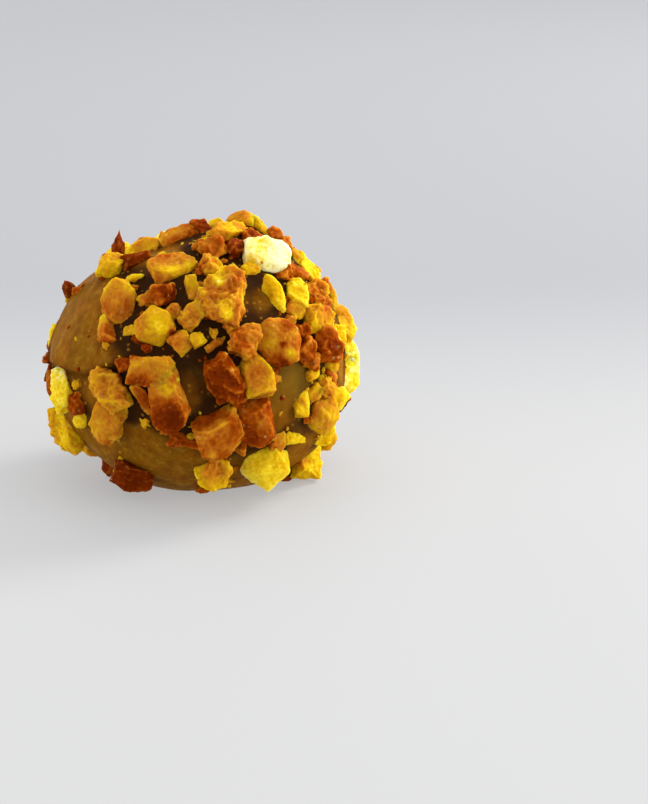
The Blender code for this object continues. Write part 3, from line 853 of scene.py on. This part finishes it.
def dot_pattern(tree, place, scale, edge, channel, rare):
    """A mask of soft dots in a few cells of a pattern, picked by a colour channel. Returns its output."""
    cells = add_node(tree, "ShaderNodeTexVoronoi", Vector=place, Scale=scale)
    pick = add_node(tree, "ShaderNodeSeparateColor", Color=cells.outputs["Color"])
    dots = band(tree, cells.outputs["Distance"], *edge)
    return maths(tree, "MULTIPLY", dots, band(tree, pick.outputs[channel], *rare))


def own_value(tree, name):
    """What a piece's mesh has noted at its points under a name. Returns its output."""
    return add_node(tree, "ShaderNodeAttribute", attribute_name=name).outputs["Fac"]


def lay_colours(tree, base, layers):
    """Lays colours over a base one after another: the mask, the strength and the colour of each."""
    for mask, strength, colour in layers:
        base = blend_colours(tree, maths(tree, "MULTIPLY", mask, strength), base, colour)
    return base


def nut_surface_group():
    """The broken surface of a nut: its roasted colour with painted shade in its hollows, painted light on its
    ridges and painted glints, how rough it is, and the fine relief of its crumb.
    """
    group = bpy.data.node_groups.new("nut_surface", "ShaderNodeTree")
    for name in ("Mottle", "Skin", "Specks", "Dust"):
        group.interface.new_socket(name=name, in_out="INPUT", socket_type="NodeSocketFloat")
    group.interface.new_socket(name="Colour", in_out="OUTPUT", socket_type="NodeSocketColor")
    for name in ("Roughness", "Height"):
        group.interface.new_socket(name=name, in_out="OUTPUT", socket_type="NodeSocketFloat")
    given = add_node(group, "NodeGroupInput").outputs
    place = add_node(group, "ShaderNodeTexCoord").outputs["Object"]
    roast = own_value(group, "roast")
    relief = own_value(group, "relief")
    cloud = noise_pattern(group, place, 750.0, 4.0, 0.6)
    crumb = noise_pattern(group, place, 3000.0, 3.0, 0.65)
    papery = noise_pattern(group, place, 420.0, 4.0, 0.7)

    roasted = roast
    # The relief paints shade into the hollows and light onto the ridges.
    for value, sway in ((cloud, given["Mottle"]), (relief, -HOLLOW_SHADE_RIDGE_LIGHT), (crumb, GRAIN_SWAY)):
        off = maths(group, "SUBTRACT", value, 0.5)
        roasted = maths(group, "ADD", roasted, maths(group, "MULTIPLY", off, sway))
    ramp = add_node(group, "ShaderNodeValToRGB", Fac=roasted)
    stops = ramp.color_ramp.elements
    while len(stops) < len(ROASTING):
        stops.new(0.5)
    for stop, (position, _) in zip(stops, ROASTING):
        stop.position = position
    for stop, (_, shade) in zip(stops, ROASTING):
        stop.color = shade

    unscorched = band(group, roast, *DUST_UNSCORCHED)
    dusty = maths(group, "MULTIPLY", band(group, crumb, *DUSTY_CRUMB), unscorched)
    # Pale dots painted as glints of light on the crumb.
    glint_specks = dot_pattern(group, place, 1900.0, GLINT_SPECK_EDGE, "Red", GLINT_SPECK_RARE)
    shaded = lay_colours(group, ramp.outputs["Color"], (
        (band(group, relief, *RIDGE_WORN_HIGHLIGHT), WORN_HIGHLIGHT_SHARE, WORN_HIGHLIGHT_COLOUR),
        (band(group, papery, *SKIN_SCRAP), given["Skin"], SKIN_COLOUR),
        (dusty, given["Dust"], DUST_COLOUR),
        (glint_specks, given["Specks"], GLINT_SPECK_COLOUR),
    ))
    rough = maths(group, "ADD", maths(group, "MULTIPLY", crumb, 0.30), 0.42)
    height = maths(group, "ADD", maths(group, "MULTIPLY", crumb, 0.6), maths(group, "MULTIPLY", cloud, 0.8))
    add_node(group, "NodeGroupOutput", Colour=shaded, Roughness=rough, Height=height)
    return group


NUT_SURFACE = nut_surface_group()


def nut_material(name, mottle, skin, glint_specks, dust, glow, bump):
    """A nut's finish: how patchy it is, how much of its skin, how many pale dots painted as glints of light
    and how much golden dust are on it, how far light soaks in, and how deep its crumb is."""
    made, tree, shader = new_material(name)
    surface = add_node(
        tree, "ShaderNodeGroup", node_tree=NUT_SURFACE, Mottle=mottle, Skin=skin, Specks=glint_specks, Dust=dust
    ).outputs
    relief = add_node(tree, "ShaderNodeBump", Strength=bump, Distance=0.25 * MM, Height=surface["Height"])
    feed_sockets(
        tree, shader,
        Base_Color=surface["Colour"],
        Roughness=surface["Roughness"],
        Normal=relief.outputs["Normal"],
        Subsurface_Weight=glow,
        Subsurface_Radius=(1.0, 0.62, 0.16),
        Subsurface_Scale=1.3 * MM,
        IOR=1.45,
        Specular_IOR_Level=0.018,
    )
    return made


# Each kind's finish: patchiness, skin, painted glints, dust, how far light soaks in, depth of the crumb.
NUT_FINISHES = {
    "pale_nuts": (0.16, 0.12, 0.05, 0.00, 0.65, 0.35),
    "golden_nuts": (0.24, 0.25, 0.10, 0.15, 0.55, 0.45),
    "tan_nuts": (0.28, 0.35, 0.20, 0.30, 0.50, 0.45),
    "toasted_nuts": (0.28, 0.40, 0.35, 0.16, 0.40, 0.50),
    "dark_nuts": (0.28, 0.30, 0.55, 0.00, 0.25, 0.55),
}
nuts = []
for name, _, _, slot in NUT_KINDS:
    nut_pile = join(by_kind[name], name)
    rest_on_table(nut_pile)
    nut_pile.data.materials.append(nut_material(name[:-1], *NUT_FINISHES[name]))
    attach(nut_pile, BODY)
    nuts.append(nut_pile)

# ---------------------------------------------------------------------------------------------------------
# The fudge. Condensed milk, butter and ground pistachio, cooked to a soft paste and rolled between buttered
# palms, so it is smooth and a little shiny, with grains of nut in it, and it closes up round every nut.

BALL_FACETS = 7  # times the ball's icosphere is subdivided
DENT_SIZE = 7.0  # how far apart the palm's broad dents are, and how deep
DENT_DEPTH = 0.30
RIPPLE_SIZE = 2.2  # the same for the finer unevenness of the paste
RIPPLE_DEPTH = 0.08
LIP_HEIGHT = 0.12  # how far the fudge creeps up a nut, and how far from it that starts
LIP_REACH = 0.40
NUT_SHADE_REACH = 0.9  # how far from a nut the fudge is darkened by painted shade, and how much, besides the painted shade of the fold's crease
NUT_SHADE_SHARE = 0.4
CROWD_RANGE = 6.0  # how far off a nut's middle may be to count as crowding, and how fast that fades
CROWD_FADE = 1.5
CROWD_HALF = 0.45  # how much of a nut's length lies on each side of its middle

# A fold that the palm pressed across the left of the ball: places across and up along its lower edge, how
# far the paste above it overhangs, how far that fades upwards, how far the groove under it is sunk.
FOLD = ((-16.0, 0.6), (-15.2, 0.3), (-13.4, -0.5), (-11.7, -0.85), (-9.4, -0.4), (-7.3, 0.3), (-6.0, 0.6))
FOLD_PROUD = 0.75
FOLD_FADE = 2.8
FOLD_GROOVE = 0.60
FOLD_SHARP = 0.50  # how far below the edge the groove is deepest
FOLD_STARTS = 1.5  # how far from each end the fold is still less than full
FOLD_ENDS = 2.0
FOLD_SHADOW = 0.45  # how dark the painted shadow is just below the fold, and how far down that fades
FOLD_SHADOW_REACH = 2.2

# Where the paste is greener, from more ground pistachio: direction and spread in degrees.
GREEN_PATCHES = (
    (seen_place(10.6, -1.6)[0], 13),
    (Vector((0.5, 0.7, 0.4)).normalized(), 22),
    (Vector((-0.3, 0.8, -0.5)).normalized(), 18),
)

deselect()
bpy.ops.mesh.primitive_ico_sphere_add(subdivisions=BALL_FACETS, radius=1, location=(0, 0, 0))
fudge = bpy.context.object
fudge.name = "fudge"
fudge.data.name = "fudge"

nut_points = []
nut_faces = []
for pile in nuts:
    first = len(nut_points)
    nut_points += [v.co.copy() for v in pile.data.vertices]
    nut_faces += [[first + v for v in face.vertices] for face in pile.data.polygons]
nut_skin = BVHTree.FromPolygons(nut_points, nut_faces)
nut_lengths = []
nut_middles = KDTree(len(all_nuts))
for number, (_, _, _, length, _, middle, _, _) in enumerate(all_nuts):
    nut_lengths.append(length)
    nut_middles.insert(middle, number)
nut_middles.balance()


def below_fold(point):
    """How far below the fold's edge a point is seen, and how full the fold is there, 0 past its ends."""
    across, up = seen_at(point)
    if (point - MIDDLE).dot(EYE_BACK) < 0 or not FOLD[0][0] < across < FOLD[-1][0]:
        return 0.0, 0.0
    for (left, start), (right, end) in zip(FOLD, FOLD[1:]):
        if left <= across <= right:
            edge = start + (end - start) * (across - left) / (right - left)
    full = min(1.0, (across - FOLD[0][0]) / FOLD_STARTS, (FOLD[-1][0] - across) / FOLD_ENDS)
    return edge - up, full


def fold_relief(point):
    """How far the palm's fold raises or sinks the fudge at a point."""
    below, full = below_fold(point)
    if below <= 0:
        return full * FOLD_PROUD * math.exp(-((below / FOLD_FADE) ** 2))
    under = below / FOLD_SHARP
    return full * (FOLD_PROUD * math.exp(-(under**2)) - FOLD_GROOVE * under * math.exp(1 - under))


def fold_painted_shade(point):
    """How much painted shade darkens the crease under the fold, and how much painted shadow falls below it, 0
    to 1.
    """
    below, full = below_fold(point)
    crease = math.exp(-((below / FOLD_SHARP - 1) ** 2))
    shadow_below = FOLD_SHADOW * math.exp(-below / FOLD_SHADOW_REACH) if below > 0 else 0.0
    return full * max(crease, shadow_below)


def crowding(point):
    """How closely nuts crowd round a point of the fudge, about 1 for each one that touches it."""
    crowd = 0.0
    for _, number, far in nut_middles.find_range(point, CROWD_RANGE):
        gap = max(far - CROWD_HALF * nut_lengths[number], 0)
        crowd += math.exp(-((gap / CROWD_FADE) ** 2))
    return crowd


def greenness(direction):
    """How green the paste is in one direction from the ball's middle, about 1 in the middle of a patch."""
    away = [middle.angle(direction) / math.radians(spread) for middle, spread in GREEN_PATCHES]
    return sum(math.exp(-(far**2)) for far in away)


painted_shade = fudge.data.attributes.new("painted_shade", "FLOAT", "POINT")
crowded = fudge.data.attributes.new("crowded", "FLOAT", "POINT")
green = fudge.data.attributes.new("green", "FLOAT", "POINT")
for index, vert in enumerate(fudge.data.vertices):
    direction = vert.co.normalized()
    radius = fudge_radius(direction)
    skin = direction * radius
    radius += noise.noise(skin / DENT_SIZE) * DENT_DEPTH + noise.noise(skin / RIPPLE_SIZE) * RIPPLE_DEPTH
    radius += fold_relief(MIDDLE + skin)
    point = MIDDLE + direction * radius
    _, _, _, far = nut_skin.find_nearest(point * MM)
    far = far / MM
    point += direction * LIP_HEIGHT * math.exp(-((far / LIP_REACH) ** 2))
    point.z = max(point.z, 0.0)
    vert.co = point * MM
    # Painted shade: darker beside each nut, in the fold's crease and in the fold's shadow below it.
    painted_shade.data[index].value = NUT_SHADE_SHARE * math.exp(-((far / NUT_SHADE_REACH) ** 2)) + fold_painted_shade(point)
    crowded.data[index].value = crowding(point)
    green.data[index].value = greenness(direction)
fudge.data.update()
choose(fudge)
bpy.ops.object.shade_smooth()

FUDGE_OLIVE = paint(124, 81, 10)
FUDGE_WARM = paint(136, 81, 8)
FUDGE_PALE = paint(154, 110, 28)
FUDGE_BROWN = paint(104, 56, 4)
FUDGE_GREEN = paint(116, 84, 18)
# Painted shade beside the nuts and in and under the fold.
FUDGE_PAINTED_SHADE = paint(80, 44, 6)
# Painted shade where nuts crowd round the paste.
FUDGE_CROWD_SHADE = paint(40, 20, 10)
FUDGE_GRAIN = paint(190, 136, 40)
FUDGE_DARK_GRAIN = paint(80, 40, 6)
# Where each mask over the paste starts and where it is full, in the value that it reads.
WARM_DRIFT = (0.35, 0.65)
PALE_BLOTCH = (0.50, 0.68)
BROWN_BLOTCH = (0.50, 0.34)
CROWD_SHADE_BAND = (1.3, 2.4)
GRAIN_EDGE = (0.34, 0.16)
GRAIN_RARE = (0.70, 0.90)
FLECK_EDGE = (0.26, 0.14)
FLECK_RARE = (0.80, 0.92)

fudge_paste, tree, shader = new_material("pistachio_fudge")
place = add_node(tree, "ShaderNodeTexCoord").outputs["Object"]
drift = noise_pattern(tree, place, 260.0, 3.0, 0.55)
blotch = noise_pattern(tree, place, 900.0, 4.0, 0.65)
fine = noise_pattern(tree, place, 2600.0, 3.0, 0.6)
grains = dot_pattern(tree, place, 1500.0, GRAIN_EDGE, "Red", GRAIN_RARE)
flecks = dot_pattern(tree, place, 950.0, FLECK_EDGE, "Green", FLECK_RARE)
paste = blend_colours(tree, band(tree, drift, *WARM_DRIFT), FUDGE_OLIVE, FUDGE_WARM)
paste = lay_colours(tree, paste, (
    (band(tree, blotch, *PALE_BLOTCH), 0.6, FUDGE_PALE),
    (band(tree, blotch, *BROWN_BLOTCH), 0.6, FUDGE_BROWN),
    # Painted shade beside the nuts and at the fold, and deepest where nuts crowd.
    (own_value(tree, "painted_shade"), 0.75, FUDGE_PAINTED_SHADE),
    (band(tree, own_value(tree, "crowded"), *CROWD_SHADE_BAND), 0.92, FUDGE_CROWD_SHADE),
    (own_value(tree, "green"), 0.8, FUDGE_GREEN),
    (grains, 0.35, FUDGE_GRAIN),
    (flecks, 0.4, FUDGE_DARK_GRAIN),
))
swell = maths(tree, "ADD", maths(tree, "MULTIPLY", fine, 0.5), maths(tree, "MULTIPLY", grains, 0.35))
skin_relief = add_node(tree, "ShaderNodeBump", Strength=0.35, Distance=0.10 * MM, Height=swell)
feed_sockets(
    tree, shader,
    Base_Color=paste,
    Roughness=maths(tree, "ADD", maths(tree, "MULTIPLY", fine, 0.30), 0.36),
    Normal=skin_relief.outputs["Normal"],
    Subsurface_Weight=0.45,
    Subsurface_Radius=(1.0, 0.55, 0.18),
    Subsurface_Scale=1.2 * MM,
    IOR=1.47,
    Specular_IOR_Level=0.014,
)
fudge.data.materials.append(fudge_paste)
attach(fudge, BODY)
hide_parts("brigadeiro")

# ---------------------------------------------------------------------------------------------------------
# The crumbs. Fine bits of nut and of its skin, from the bottom of the dish, stick in the gaps between the
# larger pieces and here and there on the bare fudge and on the nuts themselves.

# The bits that show singly in front: roast, place across and up, length.
BITS = (
    (0.46, 1.9, 3.0, 1.3),
    (0.70, -5.6, 5.2, 0.6),
    (0.40, -12.5, 2.6, 0.7),
    (0.36, -13.4, 6.8, 0.8),
    (0.84, -11.1, 2.8, 0.4),
    (0.70, -13.5, 3.9, 0.5),
    (0.48, -9.1, 1.7, 0.9),
    (0.32, -9.4, -8.4, 0.6),
    (0.38, -8.1, -10.1, 0.7),
    (0.90, -11.8, -0.6, 0.6),
    (0.60, -3.7, -7.4, 0.5),
    (0.52, -2.8, -8.2, 0.5),
    (0.48, 8.8, -5.6, 0.6),
    (0.44, 9.5, -7.3, 0.7),
    (0.66, 4.5, -6.6, 0.5),
    # These three pale bits are crumbs that also stand for a highlight on the bare fudge: partly painted
    # highlight.
    (0.40, 12.4, -1.2, 0.8),
    (0.44, 12.3, -2.3, 0.7),
    (0.42, 11.6, -0.6, 0.6),
    (0.56, 11.2, 2.0, 0.6),
    (0.40, 3.1, -13.1, 1.0),
    (0.78, 0.1, -4.3, 0.4),
    (0.72, 0.4, 0.1, 0.4),
    (0.64, 3.9, 3.6, 0.7),
    (0.50, 6.8, 11.9, 1.1),
    (0.62, 3.1, 10.7, 0.9),
    (0.34, -3.4, 11.4, 0.9),
)
BIT_LEAST = 0.75  # the length from which a bit is rounded more finely
CRUMB_SEED = 8
CRUMB_TRIES = 6000
CRUMB_SMALLEST = 0.30
CRUMB_LARGEST = 1.30
CRUMB_REACH = 0.35  # how far from a nut crumbs still gather
CRUMB_CROWD = 7.0  # how many nuts must crowd round a place for every crumb to stick there
CRUMB_BARE = 0.006  # how often a crumb sticks elsewhere on the fudge
CRUMB_ON_NUT = 0.02  # how often a crumb sticks to a nut
CRUMB_LOWEST = -0.9  # the Z of the lowest direction from the ball's middle in which crumbs stick
CRUMB_SIZE_ON_NUT = 0.6  # how long a crumb on a nut is, as a share of one on the fudge
CRUMB_WIDTHS = (0.55, 0.95)  # as a share of its length, and its thickness as a share of that
CRUMB_DEPTHS = (0.40, 0.90)
CRUMB_SUNK = 0.30  # share of its thickness
CRUMB_JITTER = 0.42  # how far the corners of a crumb stray, and how much their roasts differ
CRUMB_BLUSH = 0.05
CRUMB_ROASTS = (GOLD, GOLD, TAN, TAN, ORANGE, ORANGE, BROWN, BROWN)
FAR_OUT = 40.0  # well clear of the sweet


def crumb_form(facets):
    """The corners and the faces of the pebble that a crumb is chipped from."""
    deselect()
    bpy.ops.mesh.primitive_ico_sphere_add(subdivisions=facets, radius=0.5, location=(0, 0, 0))
    pebble = bpy.context.object
    corners = [v.co.copy() for v in pebble.data.vertices]
    faces = [tuple(face.vertices) for face in pebble.data.polygons]
    bpy.data.objects.remove(pebble)
    return corners, faces


BIT_FORM = crumb_form(2)
CRUMB_FORM = crumb_form(1)
heaps = {"pale_crumbs": ([], [], []), "roasted_crumbs": ([], [], [])}
crumb_draw = random.Random(CRUMB_SEED)


def drop_crumb(at, normal, length, roast):
    """Adds one crumb in mm to the heap of its kind."""
    corners, faces = BIT_FORM if length > BIT_LEAST else CRUMB_FORM
    width = length * crumb_draw.uniform(*CRUMB_WIDTHS)
    depth = width * crumb_draw.uniform(*CRUMB_DEPTHS)
    along = Matrix.Rotation(crumb_draw.uniform(0, 2 * math.pi), 3, normal) @ normal.orthogonal()
    turn = lying_frame(normal, along, leans(crumb_draw))
    middle = at + normal * depth * (0.5 - CRUMB_SUNK)
    points, sides, roasts = heaps["pale_crumbs" if roast < TAN else "roasted_crumbs"]
    first = len(points)
    for corner in corners:
        stray = 1 + crumb_draw.uniform(-CRUMB_JITTER, CRUMB_JITTER)
        local = Vector((corner.x * length, corner.y * width, corner.z * depth)) * stray
        points.append((middle + turn @ local) * MM)
        roasts.append(roast + crumb_draw.uniform(-CRUMB_BLUSH, CRUMB_BLUSH))
    sides.extend(tuple(first + corner for corner in face) for face in faces)


fudge_skin = BVHTree.FromPolygons(
    [v.co.copy() for v in fudge.data.vertices], [tuple(face.vertices) for face in fudge.data.polygons]
)
for roast, across, up, length in BITS:
    direction, _ = seen_place(across, up)
    hit, normal, _, _ = fudge_skin.ray_cast((MIDDLE + direction * FAR_OUT) * MM, -direction)
    drop_crumb(hit / MM, normal, length, roast)
for _ in range(CRUMB_TRIES):
    direction = any_direction(crumb_draw, CRUMB_LOWEST)
    chance = crumb_draw.random()
    size = CRUMB_SMALLEST + (CRUMB_LARGEST - CRUMB_SMALLEST) * crumb_draw.random() ** 3
    roast = crumb_draw.choice(CRUMB_ROASTS)
    start = (MIDDLE + direction * FAR_OUT) * MM
    on_fudge, fudge_normal, _, fudge_far = fudge_skin.ray_cast(start, -direction)
    on_nut, nut_normal, _, nut_far = nut_skin.ray_cast(start, -direction)
    if on_nut is not None and nut_far < fudge_far:
        if chance < CRUMB_ON_NUT:
            drop_crumb(on_nut / MM, nut_normal, size * CRUMB_SIZE_ON_NUT, min(roast, TAN))
        continue
    _, _, _, far = nut_skin.find_nearest(on_fudge)
    beside_nut = math.exp(-((far / MM / CRUMB_REACH) ** 2))
    if chance < CRUMB_BARE + beside_nut * crowding(on_fudge / MM) / CRUMB_CROWD:
        drop_crumb(on_fudge / MM, fudge_normal, size, roast)

CRUMB_FINISHES = {"pale_crumbs": "golden_nuts", "roasted_crumbs": "toasted_nuts"}
LEVEL = 0.5  # the relief of a crumb, neither ridge nor hollow
for name, (points, sides, roasts) in heaps.items():
    mesh = bpy.data.meshes.new(name)
    mesh.from_pydata(points, [], sides)
    mesh.attributes.new("roast", "FLOAT", "POINT").data.foreach_set("value", roasts)
    mesh.attributes.new("relief", "FLOAT", "POINT").data.foreach_set("value", [LEVEL] * len(points))
    heap = bpy.data.objects.new(name, mesh)
    bpy.context.scene.collection.objects.link(heap)
    rest_on_table(heap)
    mesh.materials.append(nut_material(name[:-1], *NUT_FINISHES[CRUMB_FINISHES[name]]))
    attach(heap, BODY)
